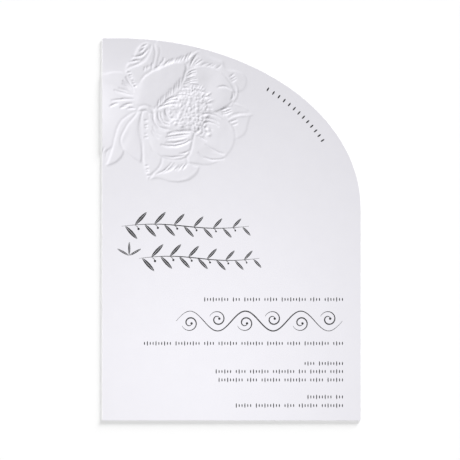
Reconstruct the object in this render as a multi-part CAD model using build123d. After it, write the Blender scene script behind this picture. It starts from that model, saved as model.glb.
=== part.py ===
from build123d import *
import os
from math import cos, hypot, pi, sin, sqrt

# Wedding invitation card: one sheet of heavy white board, cut to an arch down its right side
# and blind embossed with a large open peony that runs off its left edge.
# It lies on its back with the face up: X to the right, Y to the top edge, Z up.
# The origin is the middle of the outline's box, on the back face.

# Sheet, with the half-axes of the quarter ellipse that cuts its upper right corner
card_width = 135.0
card_height = 200.0
sheet_thickness = 0.6
arch_run = 127.0
arch_drop = 89.0

# Peony: the place of its heart, its reach from there to the petal tips, and its full rise
heart_from_left = 44.7
heart_from_top = 38.9
flower_reach = 37.0
emboss_rise = 0.7

# Petal edges: a sloped shoulder, and a groove pressed round it into the petals behind
shoulder_width = 0.5
edge_groove_width = 0.6
edge_groove_floor_share = 0.3
sharpest_tip_share = 0.1

# Lens-shaped strokes pressed into the petals, uneven as the die's maker cut them:
# how far one may stray from its even place, as a share of the fan's pitch, and by what share it may fall short
stroke_width = 1.15
stroke_depth = 0.42
stroke_stray_share = 0.25
stroke_short_share = 0.4

# Stamens: pointed grains on the heart, set in a sunflower spiral that fills a leaning ellipse.
# The ellipse's middle and half-axes are shares of the flower's reach, as the heart's outline is.
# Each grain is turned on from the one before it, so that they lie every way.
grain_count = 96
grain_length = 2.5
grain_width = 1.6
grain_rise = 0.4
grain_turn = 67.0
grain_field_lean = 20.0
grain_field_middle_share = (-0.09, 0.025)
grain_field_half_shares = (0.30, 0.235)

# Hollow of the embossing on the back, kept inside each petal's outline.
# Under a petal of full rise its depth is this share of the sheet's thickness.
recess_inset = 0.6
recess_depth_share = 0.85

# How far a cut runs past what it cuts
overrun = 1.0

# Turn that never repeats, for what is strewn
golden_angle = pi * (3 - sqrt(5))

# The relief is rooted half way into what the deepest hollow leaves of the sheet
root_depth = sheet_thickness * (1 - recess_depth_share) / 2

# Petal outlines from the back of the flower to its front, as shares of its reach from the heart.
# Each outline is a chain of edges: smooth through its points, with a corner where two edges meet.
petal_edge_shares = {
    "top_outer": [
        [(-0.50, 0.58), (-0.47, 0.84), (-0.42, 1.12)],
        [(-0.42, 1.12), (0.24, 1.04)],
        [(0.24, 1.04), (0.12, 0.78), (0.02, 0.55)],
    ],
    "upper_right_outer": [
        [(-0.04, 0.56), (0.02, 0.74), (0.17, 0.90)],
        [(0.17, 0.90), (0.31, 0.79), (0.50, 0.735)],
        [
            (0.50, 0.735), (0.57, 0.61), (0.71, 0.585), (0.82, 0.51), (0.835, 0.40), (0.77, 0.305),
            (0.62, 0.31),
        ],
    ],
    "left_outer": [
        [(-1.34, 0.55), (-1.14, 0.56), (-0.98, 0.58), (-0.84, 0.53), (-0.70, 0.30)],
        [(-0.70, 0.30), (-0.72, -0.10), (-0.98, -0.42), (-1.34, -0.66)],
    ],
    "upper_left_outer": [
        [(-0.88, 0.55), (-0.85, 0.69), (-0.77, 0.79), (-0.72, 0.90), (-0.61, 0.985), (-0.50, 0.97)],
        [(-0.50, 0.97), (-0.52, 0.75), (-0.62, 0.50)],
    ],
    "upper_fold": [
        [(-0.56, 0.50), (-0.51, 0.70), (-0.475, 0.85), (-0.47, 0.985)],
        [(-0.47, 0.985), (-0.40, 0.90), (-0.415, 0.76), (-0.40, 0.56)],
    ],
    "upper_left_lip": [
        [(-0.885, 0.57), (-0.80, 0.645), (-0.68, 0.685), (-0.60, 0.74), (-0.545, 0.84), (-0.50, 0.99)],
        [(-0.50, 0.99), (-0.465, 0.84), (-0.485, 0.70), (-0.54, 0.56)],
        [(-0.54, 0.56), (-0.68, 0.40), (-0.80, 0.47), (-0.885, 0.57)],
    ],
    "right_outer": [
        [(0.52, 0.06), (0.62, 0.125), (0.70, 0.125), (0.80, 0.05), (0.95, -0.02)],
        [(0.95, -0.02), (0.80, -0.10), (0.55, -0.12)],
    ],
    "right_lip": [
        [(0.48, -0.08), (0.60, -0.08), (0.69, -0.035), (0.78, -0.015), (0.95, -0.02)],
        [
            (0.95, -0.02), (0.88, -0.08), (0.85, -0.17), (0.83, -0.26), (0.78, -0.33), (0.69, -0.375),
            (0.52, -0.33),
        ],
    ],
    "lower_left_outer": [
        [
            (-0.72, 0.02), (-0.87, -0.06), (-0.96, -0.15), (-1.01, -0.27), (-1.05, -0.43), (-1.09, -0.58),
            (-1.17, -0.76),
        ],
        [(-1.17, -0.76), (-1.02, -0.71), (-0.94, -0.64), (-0.89, -0.50), (-0.76, -0.20)],
    ],
    "bottom_outer": [
        [
            (-0.55, -0.965), (-0.44, -0.935), (-0.30, -0.965), (-0.14, -0.985), (0.01, -0.96),
            (0.11, -0.89), (0.17, -0.76),
        ],
        [(0.17, -0.76), (0.05, -0.735), (-0.05, -0.60), (-0.30, -0.56), (-0.42, -0.72), (-0.55, -0.965)],
    ],
    "lower_fold": [
        [(-0.64, 0.02), (-0.66, -0.15), (-0.64, -0.45), (-0.63, -0.70), (-0.60, -0.83), (-0.565, -0.98)],
        [(-0.565, -0.98), (-0.51, -0.87), (-0.43, -0.80), (-0.385, -0.73), (-0.385, -0.60)],
        [(-0.385, -0.60), (-0.47, -0.40), (-0.50, -0.15), (-0.52, 0.02)],
    ],
    "lower_left_inner": [
        [
            (-0.70, 0.14), (-0.74, -0.04), (-0.85, -0.17), (-0.91, -0.28), (-0.95, -0.42), (-0.90, -0.53),
            (-0.79, -0.63), (-0.66, -0.72),
        ],
        [(-0.66, -0.72), (-0.645, -0.56), (-0.665, -0.40), (-0.69, -0.24), (-0.665, -0.06), (-0.60, 0.14)],
    ],
    "right_lower_inner": [
        [
            (0.00, -0.715), (0.10, -0.725), (0.25, -0.745), (0.40, -0.71), (0.53, -0.63), (0.63, -0.50),
            (0.67, -0.36), (0.64, -0.21), (0.55, -0.09), (0.42, -0.02), (0.20, 0.02),
        ],
        [(0.20, 0.02), (0.00, -0.30), (0.00, -0.715)],
    ],
    "upper_right_inner": [
        [
            (-0.10, 0.40), (-0.02, 0.57), (0.12, 0.635), (0.27, 0.645), (0.43, 0.60), (0.54, 0.50),
            (0.62, 0.39), (0.665, 0.28), (0.62, 0.14), (0.51, 0.06), (0.38, 0.00), (0.20, 0.02),
        ],
        [(0.20, 0.02), (0.00, 0.10), (-0.10, 0.40)],
    ],
    "cup": [
        [
            (-0.56, -0.02), (-0.545, -0.25), (-0.51, -0.50), (-0.40, -0.615), (-0.25, -0.66), (-0.10, -0.66),
            (0.00, -0.61), (0.045, -0.50), (0.075, -0.36), (0.12, -0.24),
        ],
        [(0.12, -0.24), (-0.20, -0.05), (-0.56, -0.02)],
    ],
    "hood": [
        [
            (-0.745, 0.11), (-0.735, 0.25), (-0.67, 0.43), (-0.60, 0.525), (-0.44, 0.61), (-0.29, 0.685),
            (-0.17, 0.72), (-0.06, 0.70), (-0.02, 0.62),
        ],
        [(-0.02, 0.62), (-0.065, 0.48), (-0.13, 0.34), (-0.26, 0.22), (-0.38, 0.11), (-0.47, 0.03)],
        [(-0.47, 0.03), (-0.55, 0.085), (-0.64, 0.09), (-0.745, 0.11)],
    ],
    "hood_curl": [
        [(-0.72, 0.02), (-0.66, 0.085), (-0.585, 0.095), (-0.515, 0.04), (-0.475, -0.06)],
        [(-0.475, -0.06), (-0.545, 0.00), (-0.60, 0.03), (-0.66, 0.02), (-0.72, 0.02)],
    ],
    "heart": [
        [
            (-0.50, -0.03), (-0.46, 0.06), (-0.38, 0.14), (-0.275, 0.24), (-0.17, 0.335), (-0.085, 0.36),
            (0.02, 0.31), (0.10, 0.31), (0.19, 0.26), (0.25, 0.17), (0.27, 0.08), (0.31, -0.02),
            (0.29, -0.13), (0.21, -0.19), (0.13, -0.27), (0.00, -0.25), (-0.12, -0.27), (-0.26, -0.24),
            (-0.39, -0.25), (-0.49, -0.16), (-0.50, -0.03),
        ],
    ],
}

# Rise of each petal above the sheet's face, as a share of the full rise
petal_rise_shares = {
    "top_outer": 0.28,
    "upper_right_outer": 0.38,
    "left_outer": 0.42,
    "upper_left_outer": 0.46,
    "upper_fold": 0.52,
    "upper_left_lip": 0.60,
    "right_outer": 0.42,
    "right_lip": 0.52,
    "lower_left_outer": 0.52,
    "bottom_outer": 0.46,
    "lower_fold": 0.56,
    "lower_left_inner": 0.66,
    "right_lower_inner": 0.60,
    "upper_right_inner": 0.80,
    "cup": 0.84,
    "hood": 0.94,
    "hood_curl": 1.02,
    "heart": 0.90,
}

# Petals that lie on others or are too thin to show in the hollow on the back
petals_without_recess = {
    "upper_fold",
    "upper_left_lip",
    "right_lip",
    "hood_curl",
    "heart",
}

# Fans of strokes on the petals, as shares of the reach: the first stroke and the last one,
# each from its start through its middle to its end, and how many strokes fill the fan
petal_fans_shares = {
    "top_outer": [
        (((-0.34, 0.65), (-0.30, 0.70), (-0.24, 0.75)), ((0.00, 0.73), (0.02, 0.79), (0.06, 0.86)), 8),
    ],
    "upper_right_outer": [
        (((0.03, 0.64), (0.07, 0.74), (0.13, 0.82)), ((0.08, 0.64), (0.14, 0.70), (0.22, 0.74)), 3),
        (((0.18, 0.655), (0.23, 0.685), (0.30, 0.70)), ((0.38, 0.61), (0.44, 0.64), (0.47, 0.69)), 4),
        (((0.58, 0.50), (0.62, 0.52), (0.665, 0.555)), ((0.61, 0.43), (0.65, 0.45), (0.70, 0.48)), 3),
    ],
    "left_outer": [
        (((-0.77, 0.34), (-0.83, 0.43), (-0.88, 0.51)), ((-0.78, 0.245), (-0.91, 0.275), (-1.05, 0.32)), 5),
        (
            ((-0.76, 0.185), (-0.92, 0.185), (-1.09, 0.165)),
            ((-0.77, 0.12), (-0.85, 0.115), (-0.94, 0.09)),
            2,
        ),
        (((-0.98, 0.125), (-1.05, 0.11), (-1.11, 0.075)), ((-0.74, 0.05), (-0.80, 0.06), (-0.87, 0.05)), 3),
        (
            ((-1.12, -0.52), (-1.15, -0.58), (-1.16, -0.65)),
            ((-1.17, -0.48), (-1.20, -0.53), (-1.21, -0.60)),
            2,
        ),
    ],
    "upper_left_outer": [
        (
            ((-0.79, 0.79), (-0.66, 0.805), (-0.55, 0.91)),
            ((-0.83, 0.71), (-0.76, 0.725), (-0.67, 0.735)),
            2,
        ),
        (((-0.69, 0.86), (-0.65, 0.88), (-0.60, 0.925)), ((-0.66, 0.93), (-0.62, 0.94), (-0.57, 0.965)), 2),
    ],
    "upper_left_lip": [
        (
            ((-0.81, 0.57), (-0.795, 0.55), (-0.765, 0.53)),
            ((-0.76, 0.46), (-0.745, 0.44), (-0.715, 0.42)),
            4,
        ),
    ],
    "right_outer": [
        (((0.50, 0.05), (0.55, 0.055), (0.61, 0.085)), ((0.52, -0.02), (0.57, -0.015), (0.63, 0.01)), 3),
    ],
    "right_lip": [
        (
            ((0.58, -0.13), (0.64, -0.125), (0.70, -0.095)),
            ((0.62, -0.175), (0.66, -0.17), (0.71, -0.15)),
            2,
        ),
    ],
    "bottom_outer": [
        (
            ((-0.46, -0.875), (-0.33, -0.82), (-0.22, -0.70)),
            ((-0.08, -0.82), (-0.05, -0.77), (-0.01, -0.72)),
            6,
        ),
    ],
    "lower_fold": [
        (
            ((-0.62, -0.12), (-0.59, -0.115), (-0.56, -0.12)),
            ((-0.62, -0.36), (-0.59, -0.355), (-0.56, -0.36)),
            5,
        ),
        (
            ((-0.61, -0.76), (-0.58, -0.755), (-0.55, -0.76)),
            ((-0.585, -0.90), (-0.56, -0.895), (-0.535, -0.90)),
            4,
        ),
    ],
    "right_lower_inner": [
        (
            ((0.20, -0.48), (0.35, -0.555), (0.52, -0.595)),
            ((0.14, -0.575), (0.30, -0.665), (0.51, -0.665)),
            2,
        ),
        (((0.22, -0.04), (0.30, -0.05), (0.39, -0.06)), ((0.12, -0.33), (0.19, -0.36), (0.27, -0.42)), 7),
    ],
    "upper_right_inner": [
        (((-0.01, 0.56), (0.04, 0.57), (0.09, 0.59)), ((-0.05, 0.43), (0.04, 0.44), (0.12, 0.43)), 6),
        (((-0.06, 0.385), (0.06, 0.395), (0.20, 0.36)), ((0.06, 0.30), (0.17, 0.30), (0.28, 0.255)), 5),
        (((0.20, 0.21), (0.26, 0.215), (0.32, 0.21)), ((0.24, 0.05), (0.30, 0.055), (0.35, 0.05)), 3),
        (((0.41, 0.35), (0.52, 0.365), (0.615, 0.315)), ((0.60, 0.17), (0.635, 0.22), (0.63, 0.29)), 2),
    ],
    "cup": [
        (
            ((-0.30, -0.315), (-0.15, -0.275), (0.03, -0.275)),
            ((-0.39, -0.455), (-0.17, -0.475), (0.06, -0.385)),
            5,
        ),
        (
            ((-0.13, -0.585), (-0.04, -0.575), (0.03, -0.535)),
            ((-0.36, -0.61), (-0.20, -0.635), (-0.03, -0.60)),
            2,
        ),
        (
            ((-0.49, -0.10), (-0.43, -0.21), (-0.31, -0.265)),
            ((-0.51, -0.25), (-0.47, -0.33), (-0.40, -0.37)),
            3,
        ),
    ],
    "hood": [
        (((-0.42, 0.10), (-0.39, 0.16), (-0.35, 0.21)), ((-0.15, 0.34), (-0.13, 0.40), (-0.10, 0.45)), 6),
    ],
    "heart": [
        (
            ((-0.47, 0.01), (-0.44, -0.11), (-0.32, -0.21)),
            ((-0.36, 0.07), (-0.31, -0.03), (-0.22, -0.10)),
            4,
        ),
    ],
}


def placed(point_share):
    """Place on the sheet, seen from the front, of a point given as a share of the flower's reach."""
    return (
        heart_from_left - card_width / 2 + point_share[0] * flower_reach,
        card_height / 2 - heart_from_top + point_share[1] * flower_reach,
    )


def petal_outline(edges_shares):
    """Edges of a petal on the sheet, with a straight one to close the chain if it is open."""
    edges = [[placed(point_share) for point_share in edge] for edge in edges_shares]
    first = edges[0][0]
    last = edges[-1][-1]
    if last != first:
        edges.append([last, first])
    return edges


def spread(edges, amount):
    """The same outline with each of its points moved outward by a length."""
    ring = [point for edge in edges for point in edge[:-1]]
    count = len(ring)
    doubled_area = sum(
        ring[i - 1][0] * ring[i][1] - ring[i][0] * ring[i - 1][1] for i in range(count)
    )
    outward = 1 if doubled_area > 0 else -1
    moved = []
    for i in range(count):
        normals = []
        for start, end in ((ring[i - 1], ring[i]), (ring[i], ring[(i + 1) % count])):
            length = hypot(end[0] - start[0], end[1] - start[1])
            normals.append(((end[1] - start[1]) / length, (start[0] - end[0]) / length))
        (into_x, into_y), (on_x, on_y) = normals
        openness = max(1 + into_x * on_x + into_y * on_y, sharpest_tip_share)
        moved.append((
            ring[i][0] + outward * amount * (into_x + on_x) / openness,
            ring[i][1] + outward * amount * (into_y + on_y) / openness,
        ))
    result = []
    start = 0
    for edge in edges:
        stop = start + len(edge) - 1
        result.append([moved[i % count] for i in range(start, stop + 1)])
        start = stop
    return result


def petal_face(edges, height):
    """Flat face inside an outline, at a height above the back of the sheet."""
    curves = []
    for edge in edges:
        points = [(x, y, height) for x, y in edge]
        if len(points) == 2:
            curves.append(Line(*points))
        else:
            curves.append(Spline(*points))
    return Face(Wire(curves))


def stroke_cut(stroke_shares, top):
    """Cutter for one stroke in a petal's top: a tapered V groove, deepest at its middle."""
    start, middle, end = [placed(point_share) for point_share in stroke_shares]
    length = hypot(end[0] - start[0], end[1] - start[1])
    side_x = -(end[1] - start[1]) / length * stroke_width / 2
    side_y = (end[0] - start[0]) / length * stroke_width / 2
    corners = [
        start,
        (middle[0] + side_x, middle[1] + side_y),
        end,
        (middle[0] - side_x, middle[1] - side_y),
    ]
    # The pyramid stands as far above the petal as it goes into it, so its section there is the stroke
    mouth = [(2 * x - middle[0], 2 * y - middle[1], top + stroke_depth) for x, y in corners]
    return loft([Face(Wire.make_polygon(mouth)), Vertex(*middle, top - stroke_depth)])


def between(first, last, share):
    """Point at a share of the way from one point to another."""
    return (first[0] + (last[0] - first[0]) * share, first[1] + (last[1] - first[1]) * share)


def fan_strokes(first_shares, last_shares, count):
    """Strokes of a fan from the first one to the last, uneven in place and length between those two."""
    strokes = []
    for i in range(count):
        even = i / (count - 1)
        freedom = sin(pi * even)
        turn = even + stroke_stray_share * freedom * sin(i * golden_angle) / (count - 1)
        short = stroke_short_share * freedom * (1 + cos(i * golden_angle)) / 2
        start, middle, end = [between(a, b, turn) for a, b in zip(first_shares, last_shares)]
        strokes.append([between(start, middle, short), middle, between(end, middle, short)])
    return strokes


# Sheet outline: straight left, bottom and right edges, a short straight run at the top left,
# then the quarter ellipse down to the right edge
left = -card_width / 2
right = card_width / 2
bottom = -card_height / 2
top_edge = card_height / 2
arch_start = right - arch_run
arch_end = top_edge - arch_drop
outline = Wire([
    Line((arch_start, top_edge), (left, top_edge)),
    Line((left, top_edge), (left, bottom)),
    Line((left, bottom), (right, bottom)),
    Line((right, bottom), (right, arch_end)),
    EllipticalCenterArc((arch_start, arch_end), arch_run, arch_drop, start_angle=0, arc_size=90),
])
sheet = extrude(Face(outline), amount=sheet_thickness)

# Petals from the back of the flower to its front: each one presses a groove round its edge
# into those behind it, then rises over them with its own strokes and leaves its hollow in the back
relief = None
for name, edges_shares in petal_edge_shares.items():
    rise = petal_rise_shares[name] * emboss_rise
    edges = petal_outline(edges_shares)
    petal_top = sheet_thickness + rise
    foot = petal_face(edges, sheet_thickness - root_depth)
    crown = petal_face(spread(edges, -shoulder_width), petal_top)
    petal = loft([foot, crown], ruled=True)
    cuts = []
    for first_shares, last_shares, count in petal_fans_shares.get(name, []):
        for stroke_shares in fan_strokes(first_shares, last_shares, count):
            cuts.append(stroke_cut(stroke_shares, petal_top))
    if cuts:
        petal = petal - cuts
    if relief is None:
        relief = petal
    else:
        groove_floor = sheet_thickness + edge_groove_floor_share * rise
        groove_plan = petal_face(spread(edges, edge_groove_width), groove_floor)
        groove = extrude(groove_plan, amount=emboss_rise + overrun, dir=(0, 0, 1))
        relief = relief - groove + petal
    if name not in petals_without_recess:
        recess_plan = petal_face(spread(edges, -recess_inset), -overrun)
        recess_depth = recess_depth_share * sheet_thickness * petal_rise_shares[name]
        sheet = sheet - extrude(recess_plan, amount=overrun + recess_depth, dir=(0, 0, 1))

# Stamen grains: four-sided points, each rooted as far in the heart as it stands out of it
heart_top = sheet_thickness + petal_rise_shares["heart"] * emboss_rise
grain_foot = Wire.make_polygon([
    (grain_length, 0, -grain_rise),
    (0, grain_width, -grain_rise),
    (-grain_length, 0, -grain_rise),
    (0, -grain_width, -grain_rise),
])
grain = loft([Face(grain_foot), Vertex(0, 0, grain_rise)])
field_half_length = grain_field_half_shares[0] * flower_reach
field_half_height = grain_field_half_shares[1] * flower_reach
grain_field = Pos(*placed(grain_field_middle_share), heart_top) * Rot(0, 0, grain_field_lean)
grains = []
for i in range(grain_count):
    out = sqrt((i + 0.5) / grain_count)
    angle = i * golden_angle
    grain_x = field_half_length * out * cos(angle)
    grain_y = field_half_height * out * sin(angle)
    grains.append(grain_field * Pos(grain_x, grain_y, 0) * Rot(0, 0, i * grain_turn) * grain)
relief = relief + grains

# One sheet, with the relief cut off at the card's edge
plate = extrude(Face(outline), amount=heart_top + grain_rise + overrun)
invitation_card = sheet + (relief & plate)

os.makedirs("parts", exist_ok=True)
export_step(invitation_card, "parts/invitation_card.step")
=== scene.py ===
from math import atan2, cos, exp, pi, radians, sin, sqrt
from random import Random

import bmesh
import bpy
import numpy as np
from mathutils import Matrix, Vector, noise
from mathutils.bvhtree import BVHTree


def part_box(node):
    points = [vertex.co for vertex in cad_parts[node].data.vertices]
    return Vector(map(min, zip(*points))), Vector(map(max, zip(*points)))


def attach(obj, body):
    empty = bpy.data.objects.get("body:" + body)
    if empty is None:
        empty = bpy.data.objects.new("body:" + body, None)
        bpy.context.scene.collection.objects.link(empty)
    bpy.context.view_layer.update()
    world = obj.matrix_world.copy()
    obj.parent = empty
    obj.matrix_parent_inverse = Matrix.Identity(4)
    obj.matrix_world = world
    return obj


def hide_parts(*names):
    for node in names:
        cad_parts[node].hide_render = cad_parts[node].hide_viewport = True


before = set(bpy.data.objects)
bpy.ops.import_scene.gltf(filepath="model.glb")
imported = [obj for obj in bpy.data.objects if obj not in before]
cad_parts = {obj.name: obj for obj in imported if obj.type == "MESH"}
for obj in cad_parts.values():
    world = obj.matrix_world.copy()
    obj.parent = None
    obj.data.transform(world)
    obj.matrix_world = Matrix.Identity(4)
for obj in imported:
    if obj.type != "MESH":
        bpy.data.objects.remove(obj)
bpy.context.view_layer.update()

# The card: one sheet of heavy uncoated cotton board, die cut to a quarter-ellipse arch at its upper right.
# A peony is pressed up into it between two dies while the board is damp, so every edge of the relief is
# soft and the back carries the same flower as a hollow.
MM = 0.001
card_low, card_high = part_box("invitation_card")
board_thickness = 0.6 * MM
arch_run = 127.0 * MM
arch_drop = 89.0 * MM
arch_start = card_high.x - arch_run
arch_end = card_high.y - arch_drop


def top_edge_at(x):
    """Height of the card's top edge at a place across it: straight at the left, then the arch."""
    run = max(0.0, x - arch_start) / arch_run
    return arch_end + arch_drop * sqrt(max(0.0, 1.0 - run * run))


# Grid of the board's two faces: fine cells over the flower, large ones over the plain board.
# The face has the fine cells, the back cells so many times as large, and the cut edges are a little round.
flower_right = 13.5 * MM
flower_bottom = 21.5 * MM
rows_split = 5.0 * MM
relief_cell = 0.31 * MM
plain_cell = 5.0 * MM
arch_steps = 26
back_cells = 3
edge_round = 0.12 * MM
edge_flat = 0.3 * MM
edge_drop = 0.02 * MM


def evenly(start, end, cell):
    """Places from a start up to an end, about one cell apart, without the end itself."""
    count = max(1, round((end - start) / cell))
    return [start + (end - start) * i / count for i in range(count)]


def sheet_columns(cell):
    """Places of the grid's columns across the card: close at the flower, then even steps along the arch."""
    turn_start = np.arcsin((flower_right - arch_start) / arch_run)
    turn_end = np.arcsin((card_high.x - edge_flat - arch_start) / arch_run)
    arch_turns = evenly(turn_start, turn_end, (turn_end - turn_start) / arch_steps)
    columns = [card_low.x] + evenly(card_low.x + edge_round, flower_right, cell)
    columns += [arch_start + arch_run * sin(turn) for turn in arch_turns]
    return columns + [card_high.x - edge_flat, card_high.x - edge_round, card_high.x]


def sheet_rows(cell):
    """Rows of the grid as pairs: whether the row stretches to the top edge, and its height at the left."""
    low_rows = [card_low.y, card_low.y + edge_round]
    low_rows += evenly(card_low.y + edge_flat, rows_split, plain_cell)
    high_rows = evenly(rows_split, flower_bottom, plain_cell)
    high_rows += evenly(flower_bottom, card_high.y - edge_round, cell)
    high_rows += [card_high.y - edge_round, card_high.y]
    return [(False, y) for y in low_rows] + [(True, y) for y in high_rows]


# The flower on the card: the middle of its heart, and its reach, which all its shares are of
flower_reach = 37.0 * MM
heart_place = Vector((-22.8 * MM, 61.1 * MM))


def flower_place(share):
    """Place on the card at a share of the flower's reach from its heart."""
    return heart_place + Vector(share) * flower_reach


# How the damp board takes the die: the pull of its fibres on every line, more so among the stamens,
# then a soft edge of so many cells, and a share of wide doming over each petal
probe_height = 10.0 * MM
probe_inset = 0.02 * MM
wander = 0.2 * MM
wander_size = 3.0 * MM
heart_reach = 9.0 * MM
heart_wander = 0.45 * MM
heart_wander_size = 1.5 * MM
bell_reach = 3
front_edge_cells = 1.1
front_dome_cells = 8.0
front_dome_share = 0.25
back_edge_cells = 0.8
back_dome_cells = 3.0
back_dome_share = 0.4
pull_seed = 11
noise.seed_set(pull_seed)


def pulled(x, y):
    """Place of the die that presses a place of the board, a little off it where the fibres pull."""
    place = Vector((x, y, 0.0))
    from_heart = (place.xy - heart_place).length / heart_reach
    broad = noise.noise_vector(place / wander_size) * wander
    close = noise.noise_vector(place / heart_wander_size) * heart_wander * exp(-from_heart ** 2)
    return place + broad + close


def pressed_height(die, x, y, cell, upward):
    """Height of the board at a place, as the mean of four probes of the die round it."""
    away = probe_height if upward else -probe_height
    flat = board_thickness if upward else 0.0
    total = 0.0
    for step_x, step_y in ((-1, -1), (1, -1), (1, 1), (-1, 1)):
        at = pulled(x + step_x * cell / 4, y + step_y * cell / 4)
        probe_x = min(max(at.x, card_low.x + probe_inset), card_high.x - probe_inset)
        probe_y = min(max(at.y, card_low.y + probe_inset), top_edge_at(probe_x) - probe_inset)
        hit = die.ray_cast(Vector((probe_x, probe_y, away)), Vector((0, 0, -away)))[0]
        total += hit.z if hit else flat
    return total / 4


def softened(heights, cells):
    """Heights smoothed by a bell curve of that many cells."""
    reach = int(bell_reach * cells) + 1
    weights = np.exp(-0.5 * (np.arange(-reach, reach + 1) / cells) ** 2)
    weights /= weights.sum()
    for axis in (0, 1):
        margin = [(0, 0), (0, 0)]
        margin[axis] = (reach, reach)
        wide = np.pad(heights, margin, mode="edge")
        heights = np.apply_along_axis(np.convolve, axis, wide, weights, mode="valid")
    return heights


def drawn_over(heights, edge_cells, dome_cells, dome_share):
    """Heights as the damp board takes them from the die: a soft edge, and a share of wide doming."""
    return softened(heights, edge_cells) * (1 - dome_share) + softened(heights, dome_cells) * dome_share


# The press bites less towards the flower's right, where the relief sinks by up to a share
fade_way = radians(-25.0)
fade_start = 0.3 * flower_reach
fade_end = 0.65 * flower_reach
fade_share = 0.55


def press_fade(across, along):
    """Share of the relief that is lost at each place of a grid."""
    ahead = (across - heart_place.x) * cos(fade_way) + (along - heart_place.y) * sin(fade_way)
    way = np.clip((ahead - fade_start) / (fade_end - fade_start), 0.0, 1.0)
    return fade_share * way * way * (3 - 2 * way)


# Places where the board is drawn more softly over an edge: the middle and the reach of each as shares,
# then how many cells soft it is
soft_spots = (
    ((-0.71, 0.27), 0.20, 4.0),
    ((-0.52, -0.28), 0.22, 4.0),
    ((0.30, 0.68), 0.26, 1.6),
    ((-0.27, 0.22), 0.24, 4.0),
    ((0.28, -0.10), 0.13, 4.0),
)
spot_falloff = 4


def spot_share(across, along, middle, reach):
    """How far each place of a grid lies in a soft spot, from none to one."""
    spot = flower_place(middle)
    distance = np.hypot(across - spot.x, along - spot.y) / (reach * flower_reach)
    return np.exp(-distance ** spot_falloff)


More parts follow.
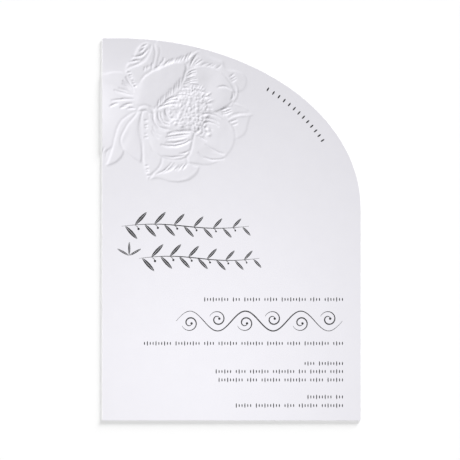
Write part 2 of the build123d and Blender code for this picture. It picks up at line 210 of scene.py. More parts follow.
# Tooling of the die: strokes in fans, each given by its first and last stroke, their count and their weight.
# A stroke runs from its start through its middle to its end, in shares. Many lie on the solid's own strokes,
# and finer ones between them. Inside a fan they stray from their even place, fall short and differ in weight.
stroke_width = 1.0 * MM
stroke_depth = 0.3 * MM
stroke_room_share = 0.75
stroke_stray_share = 0.25
stroke_short_share = 0.4
stroke_light_share = 0.45
stroke_fading = 0.5
stroke_samples = 15
golden_turn = pi * (3 - sqrt(5))
stroke_fans = (
    # Behind the upper edge of the hood, which is the large petal over the heart's left, to its tip
    (((-0.615, 0.585), (-0.61, 0.615), (-0.60, 0.65)),
     ((-0.515, 0.635), (-0.51, 0.665), (-0.50, 0.70)), 4, 0.85),
    (((-0.47, 0.615), (-0.43, 0.64), (-0.38, 0.665)),
     ((-0.37, 0.69), (-0.35, 0.73), (-0.34, 0.78)), 3, 0.9),
    (((-0.34, 0.65), (-0.30, 0.70), (-0.24, 0.75)),
     ((0.00, 0.73), (0.02, 0.79), (0.06, 0.86)), 8, 0.9),
    (((0.03, 0.64), (0.07, 0.74), (0.13, 0.82)),
     ((0.08, 0.64), (0.14, 0.70), (0.22, 0.74)), 3, 0.9),
    # Behind the upper right petal
    (((0.18, 0.655), (0.23, 0.685), (0.30, 0.70)),
     ((0.38, 0.61), (0.44, 0.64), (0.47, 0.69)), 4, 0.6),
    (((0.58, 0.50), (0.62, 0.52), (0.665, 0.555)),
     ((0.61, 0.43), (0.65, 0.45), (0.70, 0.48)), 3, 0.6),
    # Folded petal at the top left, and the dashes down from it
    (((-0.79, 0.79), (-0.66, 0.805), (-0.55, 0.91)),
     ((-0.83, 0.71), (-0.76, 0.725), (-0.67, 0.735)), 2, 1.2),
    (((-0.69, 0.86), (-0.65, 0.88), (-0.60, 0.925)),
     ((-0.66, 0.93), (-0.62, 0.94), (-0.57, 0.965)), 2, 0.9),
    (((-0.86, 0.555), (-0.835, 0.565), (-0.80, 0.56)),
     ((-0.77, 0.36), (-0.745, 0.37), (-0.72, 0.365)), 6, 1.15),
    # Left petal, out from the hood, and the lowest petal at the card's left edge
    (((-0.77, 0.34), (-0.83, 0.43), (-0.88, 0.51)),
     ((-0.78, 0.245), (-0.91, 0.275), (-1.05, 0.32)), 5, 1.3),
    (((-0.755, 0.29), (-0.80, 0.38), (-0.86, 0.48)),
     ((-0.765, 0.24), (-0.86, 0.262), (-0.99, 0.30)), 6, 1.3),
    (((-0.76, 0.185), (-0.92, 0.185), (-1.09, 0.165)),
     ((-0.77, 0.12), (-0.85, 0.115), (-0.94, 0.09)), 2, 1.1),
    (((-0.98, 0.125), (-1.05, 0.11), (-1.11, 0.075)),
     ((-0.74, 0.05), (-0.80, 0.06), (-0.87, 0.05)), 3, 1.1),
    (((-1.12, -0.52), (-1.15, -0.58), (-1.16, -0.65)),
     ((-1.17, -0.48), (-1.20, -0.53), (-1.21, -0.60)), 2, 0.5),
    # Rungs down the strip left of the cup, and the bottom petal
    (((-0.62, -0.12), (-0.59, -0.115), (-0.56, -0.12)),
     ((-0.62, -0.36), (-0.59, -0.355), (-0.56, -0.36)), 5, 0.9),
    (((-0.61, -0.76), (-0.58, -0.755), (-0.55, -0.76)),
     ((-0.585, -0.90), (-0.56, -0.895), (-0.535, -0.90)), 4, 0.8),
    (((-0.46, -0.875), (-0.33, -0.82), (-0.22, -0.70)),
     ((-0.08, -0.82), (-0.05, -0.77), (-0.01, -0.72)), 6, 0.8),
    # Right outer petals
    (((0.46, 0.035), (0.53, 0.05), (0.61, 0.085)),
     ((0.48, -0.03), (0.555, -0.015), (0.63, 0.01)), 3, 1.1),
    (((0.58, -0.13), (0.64, -0.125), (0.70, -0.095)),
     ((0.62, -0.175), (0.66, -0.17), (0.71, -0.15)), 2, 0.8),
    # Right lower petal: its root beside the heart, and the folds along its lower edge
    (((0.16, -0.06), (0.30, -0.02), (0.46, -0.09)),
     ((0.20, -0.17), (0.32, -0.14), (0.44, -0.21)), 3, 1.0),
    (((0.20, -0.21), (0.27, -0.22), (0.35, -0.25)),
     ((0.12, -0.33), (0.19, -0.36), (0.27, -0.42)), 4, 0.8),
    (((0.12, 0.00), (0.18, -0.02), (0.25, -0.03)),
     ((0.02, -0.24), (0.07, -0.27), (0.14, -0.32)), 6, 0.7),
    (((0.24, -0.45), (0.38, -0.54), (0.52, -0.595)),
     ((0.14, -0.56), (0.30, -0.665), (0.52, -0.645)), 2, 1.1),
    # Upper right petal: its root over the heart, and two creases near its right side
    (((-0.02, 0.53), (0.04, 0.575), (0.12, 0.60)),
     ((-0.07, 0.39), (0.03, 0.425), (0.14, 0.44)), 6, 1.6),
    (((-0.06, 0.385), (0.06, 0.395), (0.20, 0.36)),
     ((0.06, 0.30), (0.17, 0.30), (0.28, 0.255)), 5, 1.2),
    (((-0.20, 0.21), (-0.08, 0.245), (0.06, 0.215)),
     ((-0.10, 0.335), (0.02, 0.345), (0.14, 0.30)), 4, 1.1),
    (((0.20, 0.21), (0.26, 0.215), (0.32, 0.21)),
     ((0.24, 0.05), (0.30, 0.055), (0.35, 0.05)), 3, 0.8),
    (((0.41, 0.35), (0.52, 0.365), (0.615, 0.315)),
     ((0.60, 0.17), (0.635, 0.22), (0.63, 0.29)), 2, 0.9),
    # The cup under the heart
    (((-0.30, -0.315), (-0.15, -0.275), (0.03, -0.275)),
     ((-0.39, -0.455), (-0.17, -0.475), (0.06, -0.385)), 5, 1.5),
    (((-0.13, -0.585), (-0.04, -0.575), (0.03, -0.535)),
     ((-0.36, -0.61), (-0.20, -0.635), (-0.03, -0.60)), 2, 0.9),
    (((-0.49, -0.10), (-0.43, -0.21), (-0.31, -0.265)),
     ((-0.51, -0.25), (-0.47, -0.33), (-0.40, -0.37)), 3, 0.8),
    # Lower edge of the hood, and the swirl at the heart's left end
    (((-0.42, 0.06), (-0.415, 0.12), (-0.40, 0.19)),
     ((-0.13, 0.32), (-0.12, 0.40), (-0.10, 0.49)), 9, 0.9),
    (((-0.48, 0.01), (-0.45, -0.17), (-0.28, -0.24)),
     ((-0.32, 0.05), (-0.29, -0.05), (-0.19, -0.09)), 4, 1.5),
    (((-0.43, 0.05), (-0.33, 0.10), (-0.16, 0.12)),
     ((-0.34, 0.12), (-0.24, 0.20), (-0.10, 0.215)), 3, 1.4),
)


def fan_strokes(first, last, count, weight):
    """Strokes of a fan from the first to the last: the places of start, middle and end, and a weight."""
    strokes = []
    for i in range(count):
        even = i / (count - 1)
        freedom = sin(pi * even)
        share = even + stroke_stray_share * freedom * sin(i * golden_turn) / (count - 1)
        short = stroke_short_share * freedom * (1 + cos(i * golden_turn)) / 2
        start, middle, end = [flower_place(Vector(a).lerp(Vector(b), share)) for a, b in zip(first, last)]
        lightness = stroke_light_share * freedom * (1 + sin(2 * i * golden_turn)) / 2
        drawn = (start.lerp(middle, short), middle, end.lerp(middle, short))
        strokes.append((*drawn, weight * (1 - lightness)))
    return strokes


def groove_depth(across, along, stroke, width, fading):
    """Depth of one stroke's groove at each place: full at its middle, fading to both ends by a power."""
    start, middle, end, weight = stroke
    bow = middle * 2 - (start + end) / 2
    turns = np.linspace(0.0, 1.0, stroke_samples)
    spots = [start * (1 - t) ** 2 + bow * 2 * t * (1 - t) + end * t ** 2 for t in turns]
    nearest = np.full_like(across, np.inf)
    fullness = np.zeros_like(across)
    for k in range(stroke_samples - 1):
        step = spots[k + 1] - spots[k]
        away_x = across - spots[k].x
        away_y = along - spots[k].y
        part = np.clip((away_x * step.x + away_y * step.y) / step.length_squared, 0.0, 1.0)
        distance = np.hypot(away_x - part * step.x, away_y - part * step.y)
        closer = distance < nearest
        nearest[closer] = distance[closer]
        fullness[closer] = np.sin(pi * (k + part[closer]) / (stroke_samples - 1)).clip(0.0) ** fading
    return stroke_depth * weight * (width / stroke_width) * fullness * np.exp(-(nearest / (width / 2)) ** 2)


def stroke_press(across, along):
    """Depth that the strokes press in at each place of a grid."""
    depth = np.zeros_like(across)
    for first, last, count, weight in stroke_fans:
        pitch = (Vector(last[1]) - Vector(first[1])).length * flower_reach / (count - 1)
        width = min(stroke_width * sqrt(weight), stroke_room_share * pitch)
        for stroke in fan_strokes(first, last, count, weight):
            low = np.min(stroke[:3], axis=0) - width * 2
            high = np.max(stroke[:3], axis=0) + width * 2
            near = (across > low[0]) & (across < high[0]) & (along > low[1]) & (along < high[1])
            groove = groove_depth(across[near], along[near], stroke, width, stroke_fading)
            depth[near] = np.maximum(depth[near], groove)
    return depth


# Single lines of the petals: broad shallow folds, and fine raised rims along some edges.
# Each has its start, middle and end as shares, then its width and its depth or height.
fold_fading = 1.5
petal_folds = (
    ((0.03, 0.54), (-0.10, 0.32), (-0.36, 0.06), 5.5 * MM, 0.22 * MM),
    ((0.00, 0.56), (0.25, 0.64), (0.53, 0.52), 5.0 * MM, 0.15 * MM),
    ((-1.26, 0.45), (-1.03, 0.36), (-0.80, 0.24), 3.6 * MM, 0.16 * MM),
    ((0.10, -0.50), (0.33, -0.60), (0.58, -0.60), 4.0 * MM, 0.12 * MM),
    ((-0.98, -0.60), (-0.90, -0.42), (-0.78, -0.20), 3.5 * MM, 0.10 * MM),
    ((0.53, -0.095), (0.69, -0.02), (0.88, -0.015), 1.3 * MM, 0.15 * MM),
    ((-0.875, 0.615), (-0.67, 0.715), (-0.555, 0.86), 1.5 * MM, 0.22 * MM),
    ((0.02, 0.63), (0.09, 0.74), (0.18, 0.83), 1.8 * MM, 0.20 * MM),
    ((0.42, 0.70), (0.30, 0.46), (0.32, 0.10), 12.0 * MM, 0.36 * MM),
    ((0.30, -0.02), (0.24, -0.25), (0.14, -0.55), 9.0 * MM, 0.28 * MM),
    ((-0.31, 0.16), (-0.25, -0.08), (-0.28, -0.44), 7.0 * MM, 0.32 * MM),
)
rim_width = 1.2 * MM
petal_rims = (
    ((0.28, 0.02), (0.51, -0.085), (0.65, -0.26), rim_width, 0.16 * MM),
    ((0.635, 0.43), (0.695, 0.26), (0.555, 0.045), rim_width, 0.17 * MM),
    ((0.55, -0.13), (0.70, -0.06), (0.88, -0.05), rim_width, 0.13 * MM),
    ((0.64, 0.12), (0.75, 0.09), (0.85, 0.02), rim_width, 0.14 * MM),
    ((-0.01, 0.55), (0.23, 0.645), (0.51, 0.54), rim_width, 0.14 * MM),
    ((-0.03, 0.695), (0.05, 0.785), (0.15, 0.87), rim_width, 0.20 * MM),
    ((-0.36, -0.94), (-0.08, -0.955), (0.14, -0.80), rim_width, 0.06 * MM),
)


def line_depth(across, along, lines, fading):
    """Depth of single lines, one over the other, at each place of a grid."""
    depth = np.zeros_like(across)
    for start, middle, end, width, full_depth in lines:
        spots = [flower_place(share) for share in (start, middle, end)]
        weight = full_depth / stroke_depth * stroke_width / width
        depth += groove_depth(across, along, (*spots, weight), width, fading)
    return depth


# Heart: a leaning ellipse, where the board is drawn softly over the die and sinks into a shallow hollow.
# Crowded stamens of uneven size fill its right part in a sunflower spiral, a few more hang out at its
# lower right, and filaments break up its upper right rim.
heart_middle = flower_place((-0.07, 0.03))
heart_half_length = 0.42 * flower_reach
heart_half_height = 0.31 * flower_reach
heart_lean = radians(20.0)
heart_cells = 4.0
heart_falloff = 6
heart_hollow = 0.16 * MM

# Fields of stamens: the middle, half length and half height of each as shares, then its lean and its count
stamen_fields = (
    ((0.01, 0.03), 0.29, 0.25, heart_lean, 84),
    ((0.17, -0.20), 0.16, 0.11, radians(-50.0), 22),
)
stamen_length = 1.2 * MM
stamen_width = 0.8 * MM
stamen_rise = 0.44 * MM
stamen_least_share = 0.4
stamen_scatter = 0.7 * MM
filament_count = 28
filament_first = radians(-5.0)
filament_last = radians(75.0)
filament_reach_shares = (0.72, 1.08)
filament_length = 1.5 * MM
filament_width = 0.5 * MM
filament_rise = 0.34 * MM
scatter_seed = 11


def heart_distance(across, along):
    """Distance from the heart's middle at each place of a grid, as a share of the ellipse."""
    from_x = across - heart_middle.x
    from_y = along - heart_middle.y
    ahead = (from_x * cos(heart_lean) + from_y * sin(heart_lean)) / heart_half_length
    aside = (from_y * cos(heart_lean) - from_x * sin(heart_lean)) / heart_half_height
    return np.hypot(ahead, aside)


def ellipse_spot(middle, half_length, half_height, lean, out, turn):
    """Place at a share of a leaning ellipse out from its middle, in a direction."""
    spot = Vector((half_length * out * cos(turn), half_height * out * sin(turn)))
    spot.rotate(Matrix.Rotation(lean, 2))
    return middle + spot


def bump(across, along, spot, turn, length, width):
    """A long soft bump at a place, one high."""
    ahead = (across - spot.x) * cos(turn) + (along - spot.y) * sin(turn)
    aside = (along - spot.y) * cos(turn) - (across - spot.x) * sin(turn)
    return np.exp(-(ahead / length) ** 2 - (aside / width) ** 2)


def stamens_rise(across, along):
    """Height that stamens and filaments stand up at each place of a grid, over the hollow of the heart."""
    rise = np.zeros_like(across)
    scatter = Random(scatter_seed)
    for middle, length_share, height_share, lean, count in stamen_fields:
        field = (flower_place(middle), length_share * flower_reach, height_share * flower_reach, lean)
        for i in range(count):
            spot = ellipse_spot(*field, sqrt((i + 0.5) / count), i * golden_turn)
            spot += Vector((scatter.uniform(-1, 1), scatter.uniform(-1, 1))) * stamen_scatter
            size = scatter.uniform(stamen_least_share, 1) * stamen_rise
            stamen = bump(across, along, spot, scatter.uniform(0, pi), stamen_length, stamen_width)
            rise = np.maximum(rise, size * stamen)
    for i in range(filament_count):
        turn = filament_first + (filament_last - filament_first) * (i + scatter.random()) / filament_count
        out = scatter.uniform(*filament_reach_shares)
        spot = ellipse_spot(heart_middle, heart_half_length, heart_half_height, heart_lean, out, turn)
        size = scatter.uniform(stamen_least_share, 1) * filament_rise
        way = turn + heart_lean
        rise = np.maximum(rise, size * bump(across, along, spot, way, filament_length, filament_width))
    return rise - heart_hollow * np.exp(-heart_distance(across, along) ** 2)


# The pressed board: both faces follow the outline and the die. The fine tooling is on the face alone,
# which cockles faintly about the flower and keeps some board everywhere over the hollow of the back.
cockle_height = 0.03 * MM
cockle_size = 3.5 * MM
cockle_falloff = 6
least_thickness = 0.16 * MM


def tooled(heights, hollow, cockle, across, along):
    """Heights of the face, with its relief faded and softened in places, and tooled all over."""
    heights = heights - (heights - board_thickness) * press_fade(across, along)
    in_heart = np.exp(-heart_distance(across, along) ** heart_falloff)
    heights += (softened(heights, heart_cells) - heights) * in_heart
    for middle, reach, cells in soft_spots:
        heights += (softened(heights, cells) - heights) * spot_share(across, along, middle, reach)
    folds = line_depth(across, along, petal_folds, fold_fading)
    heights += stamens_rise(across, along) - stroke_press(across, along) - folds
    heights += line_depth(across, along, petal_rims, stroke_fading) + cockle * cockle_height
    back = drawn_over(hollow, back_edge_cells * back_cells, back_dome_cells * back_cells, back_dome_share)
    return np.clip(heights, back + least_thickness, card_high.z)


def pressed_side(board, die, cell, upward, edge_cells, dome_cells, dome_share):
    """One side of the board as a grid that follows the card's outline and the pressed relief."""
    columns = sheet_columns(cell)
    rows = sheet_rows(cell)
    last_column = len(columns) - 1
    last_row = len(rows) - 1
    made = bmesh.ops.create_grid(board, x_segments=last_column, y_segments=last_row, size=1.0)["verts"]
    places = {}
    heights = np.zeros((len(rows), len(columns)))
    hollow = np.zeros_like(heights)
    cockle = np.zeros_like(heights)
    across = np.zeros_like(heights)
    along = np.zeros_like(heights)
    for vert in made:
        i = round((vert.co.x + 1) / 2 * last_column)
        j = round((vert.co.y + 1) / 2 * last_row)
        x = columns[i]
        stretches, y = rows[j]
        if stretches:
            y = rows_split + (y - rows_split) / (card_high.y - rows_split) * (top_edge_at(x) - rows_split)
        heights[j, i] = pressed_height(die, x, y, cell, upward)
        if upward:
            hollow[j, i] = pressed_height(die, x, y, cell, False)
            from_heart = (Vector((x, y)) - heart_place).length / flower_reach
            cockle[j, i] = noise.noise(Vector((x, y, 0.0)) / cockle_size) * exp(-from_heart ** cockle_falloff)
            across[j, i], along[j, i], _ = pulled(x, y)
        places[vert] = (x, y, i, j)
    heights = drawn_over(heights, edge_cells, dome_cells, dome_share)
    if upward:
        heights = tooled(heights, hollow, cockle, across, along)
    for vert, (x, y, i, j) in places.items():
        rim = i in (0, last_column) or j in (0, last_row)
        drop = edge_drop if rim else 0.0
        vert.co = (x, y, heights[j, i] - drop if upward else heights[j, i] + drop)
    return made


die_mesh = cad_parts["invitation_card"].data
die = BVHTree.FromPolygons(
    [v.co.copy() for v in die_mesh.vertices],
    [tuple(p.vertices) for p in die_mesh.polygons],
)
board = bmesh.new()
pressed_side(board, die, relief_cell, True, front_edge_cells, front_dome_cells, front_dome_share)
back_verts = pressed_side(
    board, die, relief_cell * back_cells, False, back_edge_cells, back_dome_cells, back_dome_share,
)
back_faces = list({face for vert in back_verts for face in vert.link_faces})
bmesh.ops.reverse_faces(board, faces=back_faces)
rim_edges = [edge for edge in board.edges if edge.is_boundary]
for edge in rim_edges:
    edge.smooth = False
cut_edge = bmesh.ops.bridge_loops(board, edges=rim_edges)["faces"]
for face in board.faces:
    face.smooth = True
for face in cut_edge:
    face.material_index = 1
    face.smooth = False
bmesh.ops.recalc_face_normals(board, faces=board.faces)
board_mesh = bpy.data.meshes.new("embossed_board")
board.to_mesh(board_mesh)
board.free()
embossed_board = bpy.data.objects.new("embossed_board", board_mesh)
bpy.context.scene.collection.objects.link(embossed_board)

# Fibre of the board: cloudy formation seen as a slight change of tone, and a fine felt tooth as bump
tooth_size = 0.5 * MM
tooth_detail = 5.0
cloud_size = 9.0 * MM
cloud_detail = 3.0
grain_roughness = 0.6
even_stretch = (1.0, 1.0, 1.0)
fibre = bpy.data.node_groups.new("cotton_fibre", "ShaderNodeTree")
for name, kind, value in (
    ("Tooth size", "NodeSocketFloat", tooth_size),
    ("Cloud size", "NodeSocketFloat", cloud_size),
    ("Stretch", "NodeSocketVector", even_stretch),
):
    socket = fibre.interface.new_socket(name, in_out="INPUT", socket_type=kind)
    socket.default_value = value
for name in ("Tooth", "Cloud"):
    fibre.interface.new_socket(name, in_out="OUTPUT", socket_type="NodeSocketFloat")
group_in = fibre.nodes.new("NodeGroupInput")
group_out = fibre.nodes.new("NodeGroupOutput")
place = fibre.nodes.new("ShaderNodeTexCoord")
stretched = fibre.nodes.new("ShaderNodeVectorMath")
stretched.operation = "MULTIPLY"
fibre.links.new(place.outputs["Object"], stretched.inputs[0])
fibre.links.new(group_in.outputs["Stretch"], stretched.inputs[1])
for output, size_name, detail in (
    ("Tooth", "Tooth size", tooth_detail),
    ("Cloud", "Cloud size", cloud_detail),
):
    frequency = fibre.nodes.new("ShaderNodeMath")
    frequency.operation = "DIVIDE"
    frequency.inputs[0].default_value = 1.0
    fibre.links.new(group_in.outputs[size_name], frequency.inputs[1])
    grain = fibre.nodes.new("ShaderNodeTexNoise")
    grain.inputs["Detail"].default_value = detail
    grain.inputs["Roughness"].default_value = grain_roughness
    fibre.links.new(stretched.outputs["Vector"], grain.inputs["Vector"])
    fibre.links.new(frequency.outputs["Value"], grain.inputs["Scale"])
    fibre.links.new(grain.outputs["Fac"], group_out.inputs[output])


def fibre_material(name, light_tone, dark_tone, mask, roughness):
    """A matt finish between two close tones, by a mask of the fibre, with its fibre and its shader."""
    material = bpy.data.materials.new(name)
    material.use_nodes = True
    nodes = material.node_tree.nodes
    links = material.node_tree.links
    shader = nodes["Principled BSDF"]
    felt = nodes.new("ShaderNodeGroup")
    felt.node_tree = fibre
    tone = nodes.new("ShaderNodeMix")
    tone.data_type = "RGBA"
    tone.inputs["A"].default_value = (*dark_tone, 1.0)
    tone.inputs["B"].default_value = (*light_tone, 1.0)
    links.new(felt.outputs[mask], tone.inputs["Factor"])
    links.new(tone.outputs["Result"], shader.inputs["Base Color"])
    shader.inputs["Roughness"].default_value = roughness
    return material, felt, shader


# Finishes of the board: its white faces with a faint cool tint, and its cut edge, which is rougher
# and has its fibre drawn out along the sheet
board_specular = 0.12
face_light_tone = (0.815, 0.805, 0.85)
face_dark_tone = (0.785, 0.775, 0.82)
face_tooth_height = 0.02 * MM
face_roughness = 0.85
edge_light_tone = (0.80, 0.79, 0.82)
edge_dark_tone = (0.72, 0.71, 0.74)
edge_stretch = (1.0, 1.0, 6.0)
edge_tooth_height = 0.06 * MM
edge_roughness = 0.95


def board_material(name, light_tone, dark_tone, stretch, tooth_height, roughness):
    """White uncoated board: two close tones by its formation, and a felt tooth in its surface."""
    material, felt, shader = fibre_material(name, light_tone, dark_tone, "Cloud", roughness)
    felt.inputs["Stretch"].default_value = stretch
    tooth = material.node_tree.nodes.new("ShaderNodeBump")
    tooth.inputs["Strength"].default_value = 1.0
    tooth.inputs["Distance"].default_value = tooth_height
    material.node_tree.links.new(felt.outputs["Tooth"], tooth.inputs["Height"])
    material.node_tree.links.new(tooth.outputs["Normal"], shader.inputs["Normal"])
    shader.inputs["Specular IOR Level"].default_value = board_specular
    return material


board_mesh.materials.append(board_material(
    "white_cotton_board", face_light_tone, face_dark_tone, even_stretch, face_tooth_height, face_roughness,
))
board_mesh.materials.append(board_material(
    "cut_board_edge", edge_light_tone, edge_dark_tone, edge_stretch, edge_tooth_height, edge_roughness,
))
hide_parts("invitation_card")
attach(embossed_board, "root")

# The print: a thin matt film of dark grey ink on the face, as plain ornament.
# It is pressed flat on the board in three kinds of mark: a round or oval bead, a leaf of two halves
# with a bare rib between them, and a pen line that is fine at both ends.
film_proud = 0.015 * MM
film_top = board_thickness + film_proud
film_thickness = 0.02 * MM
oval_points = 14
leaf_point = 1.5
leaf_rib = 0.13 * MM
line_end_share = 0.25
ink_light_tone = (0.055, 0.055, 0.058)
ink_dark_tone = (0.022, 0.022, 0.024)
ink_roughness = 0.7


def ink_oval(film, seat, length, width, point=1.0):
    """One oval of ink about a seat on the face, drawn out to points if its power is over one."""
    made = bmesh.ops.create_circle(film, cap_ends=True, segments=oval_points, radius=1.0)["verts"]
    for vert in made:
        side = 1 if vert.co.y >= 0 else -1
        vert.co.x *= length / 2
        vert.co.y = side * abs(vert.co.y) ** point * width / 2
    bmesh.ops.transform(film, matrix=seat, verts=made)
    return made


def ink_bead(film, x, y, length, width, turn=0.0):
    """One bead of ink with its middle at a place on the face."""
    ink_oval(film, Matrix.Translation((x, y, film_top)) @ Matrix.Rotation(turn, 4, "Z"), length, width)


def ink_leaf(film, x, y, length, width, turn):
    """One leaf of ink from a place on its stem: two pointed halves, cut from an oval each along the rib."""
    seat = Matrix.Translation((x, y, film_top)) @ Matrix.Rotation(turn, 4, "Z")
    seat @= Matrix.Translation((length / 2, 0, 0))
    for side in (1, -1):
        half = ink_oval(film, seat, length, width, leaf_point)
        edges = {edge for vert in half for edge in vert.link_edges}
        faces = {face for vert in half for face in vert.link_faces}
        bmesh.ops.bisect_plane(
            film,
            geom=[*half, *edges, *faces],
            plane_co=seat @ Vector((0, side * leaf_rib / 2, 0)),
            plane_no=seat.to_3x3() @ Vector((0, side, 0)),
            clear_inner=True,
        )


def ink_line(film, path, width):
    """A pen line of ink along a path of places, drawn out of its first edge step by step."""
    last = len(path) - 1
    spots = [Vector((x, y, film_top)) for x, y in path]
    turns = []
    for i in range(last + 1):
        along = spots[min(i + 1, last)] - spots[max(i - 1, 0)]
        turns.append(atan2(along.y, along.x))
    widths = [width * (line_end_share + (1 - line_end_share) * sin(pi * i / last)) for i in range(last + 1)]
    ends = [film.verts.new((0, widths[0] / 2, 0)), film.verts.new((0, -widths[0] / 2, 0))]
    pen = [film.edges.new(ends)]
    seat = Matrix.Translation(spots[0]) @ Matrix.Rotation(turns[0], 4, "Z")
    bmesh.ops.transform(film, matrix=seat, verts=ends)
    for i in range(1, last + 1):
        drawn = bmesh.ops.extrude_edge_only(film, edges=pen)["geom"]
        pen = [part for part in drawn if isinstance(part, bmesh.types.BMEdge)]
        ends = [part for part in drawn if isinstance(part, bmesh.types.BMVert)]
        bmesh.ops.translate(film, verts=ends, vec=spots[i] - spots[i - 1])
        spread = widths[i] / widths[i - 1]
        middle = Matrix.Translation(-spots[i])
        bmesh.ops.scale(film, verts=ends, vec=(spread, spread, 1.0), space=middle)
        bend = Matrix.Rotation(turns[i] - turns[i - 1], 3, "Z")
        bmesh.ops.rotate(film, verts=ends, cent=spots[i], matrix=bend)


def ink_piece(name, film, material):
    """Turns the marks of one film into a piece that rides on the card."""
    for face in film.faces:
        face.normal_update()
    bmesh.ops.reverse_faces(film, faces=[face for face in film.faces if face.normal.z < 0])
    film_mesh = bpy.data.meshes.new(name)
    film.to_mesh(film_mesh)
    film.free()
    piece = bpy.data.objects.new(name, film_mesh)
    bpy.context.scene.collection.objects.link(piece)
    body = piece.modifiers.new("film_thickness", "SOLIDIFY")
    body.thickness = film_thickness
    body.offset = -1.0
    film_mesh.materials.append(material)
    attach(piece, "root")
    return piece


# The ink takes the board's tooth, so that it is a little mottled
dark_ink = fibre_material("dark_grey_ink", ink_light_tone, ink_dark_tone, "Tooth", ink_roughness)[0]

# Two long olive sprigs across the middle, each given by its left end, its right end and its height:
# a waved stem, slender leaves on alternate sides, and a berry on a stalk opposite every other leaf
sprig_places = ((-57.5 * MM, 9.0 * MM, 1.6 * MM), (-48.5 * MM, 14.5 * MM, -15.2 * MM))
sprig_leaves = 13
sprig_wave = 1.1 * MM
stem_width = 0.5 * MM
stem_points = 40
leaf_length = 9.6 * MM
leaf_width = 2.0 * MM
leaf_lean = radians(47.0)
leaf_taper_share = 0.35
first_leaf_share = 0.35
stalk_length = 3.0 * MM
stalk_width = 0.4 * MM
stalk_bow = 0.5 * MM
berry_size = 1.3 * MM


def sprig_at(sprig, share):
    """Place of a sprig's stem at a share of its length."""
    sprig_left, sprig_right, sprig_y = sprig
    x = sprig_left + (sprig_right - sprig_left) * share
    return x, sprig_y + sprig_wave * sin(2 * pi * share)


sprigs = bmesh.new()
for sprig in sprig_places:
    ink_line(sprigs, [sprig_at(sprig, i / stem_points) for i in range(stem_points + 1)], stem_width)
    for leaf in range(sprig_leaves):
        share = (leaf + first_leaf_share) / sprig_leaves
        stem_x, stem_y = sprig_at(sprig, share)
        side = 1 if leaf % 2 else -1
        size = 1 - leaf_taper_share * share
        ink_leaf(sprigs, stem_x, stem_y, leaf_length * size, leaf_width * size, side * leaf_lean)
        if leaf % 2:
            berry_x = stem_x + stalk_length * size * cos(leaf_lean)
            berry_y = stem_y - side * stalk_length * size * sin(leaf_lean)
            half_way = ((stem_x + berry_x) / 2 + stalk_bow, (stem_y + berry_y) / 2)
            ink_line(sprigs, [(stem_x, stem_y), half_way, (berry_x, berry_y)], stalk_width)
            ink_bead(sprigs, berry_x, berry_y, berry_size * size, berry_size * size)
sprig_print = ink_piece("sprig_print", sprigs, dark_ink)

# A vine scroll under them, drawn with the pen line: a waved stem with a curl in each of its bends,
# and a bead where the curl ends
scroll_left = -29.0 * MM
scroll_right = 58.0 * MM
scroll_y = -48.0 * MM
scroll_wave = 5.2 * MM
scroll_bends = 6
scroll_width = 0.7 * MM
scroll_points = 90
curl_start = 4.4 * MM
curl_end = 0.9 * MM
curl_first = radians(200.0)
curl_turns = 1.4
curl_points = 34
curl_shift = 1.0 * MM
curl_bead = 1.3 * MM
bend_length = (scroll_right - scroll_left) / scroll_bends
scroll = bmesh.new()
scroll_stem = []
for i in range(scroll_points + 1):
    share = i / scroll_points
    stem_x = scroll_left + (scroll_right - scroll_left) * share
    scroll_stem.append((stem_x, scroll_y + scroll_wave * sin(pi * scroll_bends * share)))
ink_line(scroll, scroll_stem, scroll_width)
for bend in range(scroll_bends):
    side = 1 if bend % 2 == 0 else -1
    curl_x = scroll_left + bend_length * (bend + 0.5)
    curl = []
    for i in range(curl_points + 1):
        share = i / curl_points
        reach = curl_start + (curl_end - curl_start) * share
        turn = curl_first + 2 * pi * curl_turns * share
        curl.append((curl_x + reach * cos(turn), scroll_y + side * (reach * sin(turn) - curl_shift)))
    ink_line(scroll, curl, scroll_width)
    ink_bead(scroll, *curl[-1], curl_bead, curl_bead)
scroll_print = ink_piece("scroll_print", scroll, dark_ink)

# A small spray beside the lower sprig, printed in the same ink:
# three slender leaves that fan out from one place
spray_place = (-53.5 * MM, -13.8 * MM)
spray_leans = (radians(30.0), radians(90.0), radians(150.0))
spray_length = 7.4 * MM
spray_leaf_width = 1.15 * MM
spray = bmesh.new()
for lean in spray_leans:
    ink_leaf(spray, *spray_place, spray_length, spray_leaf_width, lean)
spray_print = ink_piece("spray_print", spray, dark_ink)

# Fine rows of beads, flush right, in one film: the height of each row and its runs of beads
# from the right, with every third bead of a run taller
bead_rows = (
    (-36.7 * MM, (7, 4, 9, 5, 6, 3, 9)),
    (-59.7 * MM, (4, 9, 5, 6, 8, 7, 4, 9, 10)),
    (-70.2 * MM, (9, 4)),
    (-74.4 * MM, (5, 6, 3, 8, 7, 4, 6)),
    (-78.8 * MM, (6, 5, 8, 7, 4, 9)),
    (-87.7 * MM, (3, 9)),
    (-92.2 * MM, (8, 7, 4, 9, 6)),
)
bead_end = 58.0 * MM
bead_pitch = 1.5 * MM
bead_width = 0.56 * MM
bead_heights = (1.7 * MM, 1.7 * MM, 2.5 * MM)
beads = bmesh.new()
for row_y, bead_runs in bead_rows:
    bead_x = bead_end
    for run in bead_runs:
        for bead in range(run):
            ink_bead(beads, bead_x, row_y, bead_width, bead_heights[bead % len(bead_heights)])
            bead_x -= bead_pitch
        bead_x -= bead_pitch

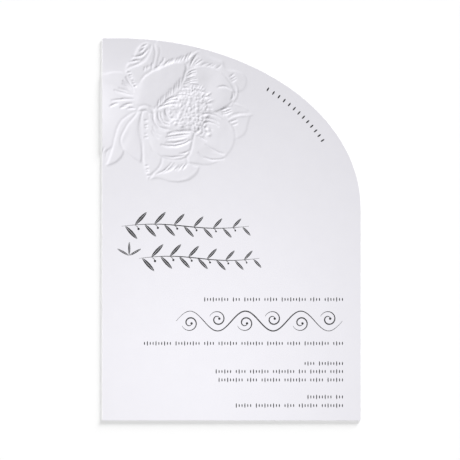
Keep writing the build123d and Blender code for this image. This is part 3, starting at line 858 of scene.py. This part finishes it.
# One more row of beads in the same film, along the inside of the arch at a share of its size
arc_beads = 13
arc_share = 0.933
arc_first = radians(48.5)
arc_last = radians(25.3)
arc_bead_width = 0.8 * MM
arc_bead_height = 2.3 * MM
for bead in range(arc_beads):
    turn = arc_first + (arc_last - arc_first) * bead / (arc_beads - 1)
    arc_x = arch_start + arc_share * arch_run * cos(turn)
    arc_y = arch_end + arc_share * arch_drop * sin(turn)
    slope = atan2(-arch_drop * cos(turn), arch_run * sin(turn))
    ink_bead(beads, arc_x, arc_y, arc_bead_width, arc_bead_height, slope)
bead_print = ink_piece("bead_print", beads, dark_ink)

# The stage: a pale matt table top just under the card
table_half_width = 2.0
table_gap = 0.02 * MM
table_tone = (0.9, 0.9, 0.9)
table_roughness = 0.9
table_specular = 0.1
floor_mesh = bpy.data.meshes.new("floor")
floor_build = bmesh.new()
bmesh.ops.create_grid(floor_build, x_segments=1, y_segments=1, size=table_half_width)
floor_build.to_mesh(floor_mesh)
floor_build.free()
floor = bpy.data.objects.new("floor", floor_mesh)
floor.location.z = -table_gap
bpy.context.scene.collection.objects.link(floor)
floor_material = bpy.data.materials.new("white_table")
floor_material.use_nodes = True
floor_shader = floor_material.node_tree.nodes["Principled BSDF"]
floor_shader.inputs["Base Color"].default_value = (*table_tone, 1.0)
floor_shader.inputs["Roughness"].default_value = table_roughness
floor_shader.inputs["Specular IOR Level"].default_value = table_specular
floor_mesh.materials.append(floor_material)

# Lights: for the card, a low key from the upper left, a weak one from the upper right for the lines that
# run with the key, a soft fill over the lower end, and a small reflector by the flower's left edge.
# Two more light the table only, one of them low, so that the card's left and lower edges throw a soft shadow.
card_lit = bpy.data.collections.new("card_lit")
for piece in (embossed_board, bead_print, scroll_print, spray_print, sprig_print):
    card_lit.objects.link(piece)
table_lit = bpy.data.collections.new("table_lit")
table_lit.objects.link(floor)

# Distant lights: the direction towards each, its strength, its softness and what it lights
suns = (
    ("key", (-0.66, 0.52, 0.45), 3.69, radians(10.0), card_lit),
    ("side", (0.50, 0.66, 0.50), 0.5, radians(10.0), card_lit),
    ("table_top", (0.0, 0.0, 1.0), 1.86, radians(30.0), table_lit),
    ("table_side", (0.55, 0.82, 0.165), 6.9, radians(15.0), table_lit),
)

# Round lights that face down: the place of each, its size, its strength and what it lights
disks = (
    ("fill", (-20.0 * MM, -70.0 * MM, 180.0 * MM), 120.0 * MM, 0.12, card_lit),
    ("reflector", (-80.0 * MM, 66.0 * MM, 22.0 * MM), 20.0 * MM, 0.0017, card_lit),
)


def hung(light, receivers):
    """A light put up in the scene, for one group of receivers."""
    lamp = bpy.data.objects.new(light.name, light)
    bpy.context.scene.collection.objects.link(lamp)
    lamp.light_linking.receiver_collection = receivers
    return lamp


for name, towards_light, strength, softness, receivers in suns:
    light = bpy.data.lights.new(name, "SUN")
    light.energy = strength
    light.angle = softness
    hung(light, receivers).rotation_euler = Vector(towards_light).to_track_quat("Z", "Y").to_euler()
for name, spot, size, strength, receivers in disks:
    light = bpy.data.lights.new(name, "AREA")
    light.shape = "DISK"
    light.size = size
    light.energy = strength
    hung(light, receivers).location = spot

# The studio's even white light, shown as it is
studio_tone = (1.0, 1.0, 1.0)
studio_strength = 0.17
world = bpy.data.worlds.new("studio")
world.use_nodes = True
world.node_tree.nodes["Background"].inputs["Color"].default_value = (*studio_tone, 1.0)
world.node_tree.nodes["Background"].inputs["Strength"].default_value = studio_strength
bpy.context.scene.world = world
bpy.context.scene.view_settings.view_transform = "Standard"

# The camera looks straight down from well above, so the card's outline is true
camera_height = 1.2
camera_x = -0.79 * MM
camera_y = -0.39 * MM
frame_width = 240.6 * MM
sensor_width = 36.0
camera_data = bpy.data.cameras.new("camera")
camera_data.sensor_width = sensor_width
camera_data.lens = sensor_width * (camera_height - board_thickness) / frame_width
camera = bpy.data.objects.new("camera", camera_data)
camera.location = (camera_x, camera_y, camera_height)
bpy.context.scene.collection.objects.link(camera)
bpy.context.scene.camera = camera
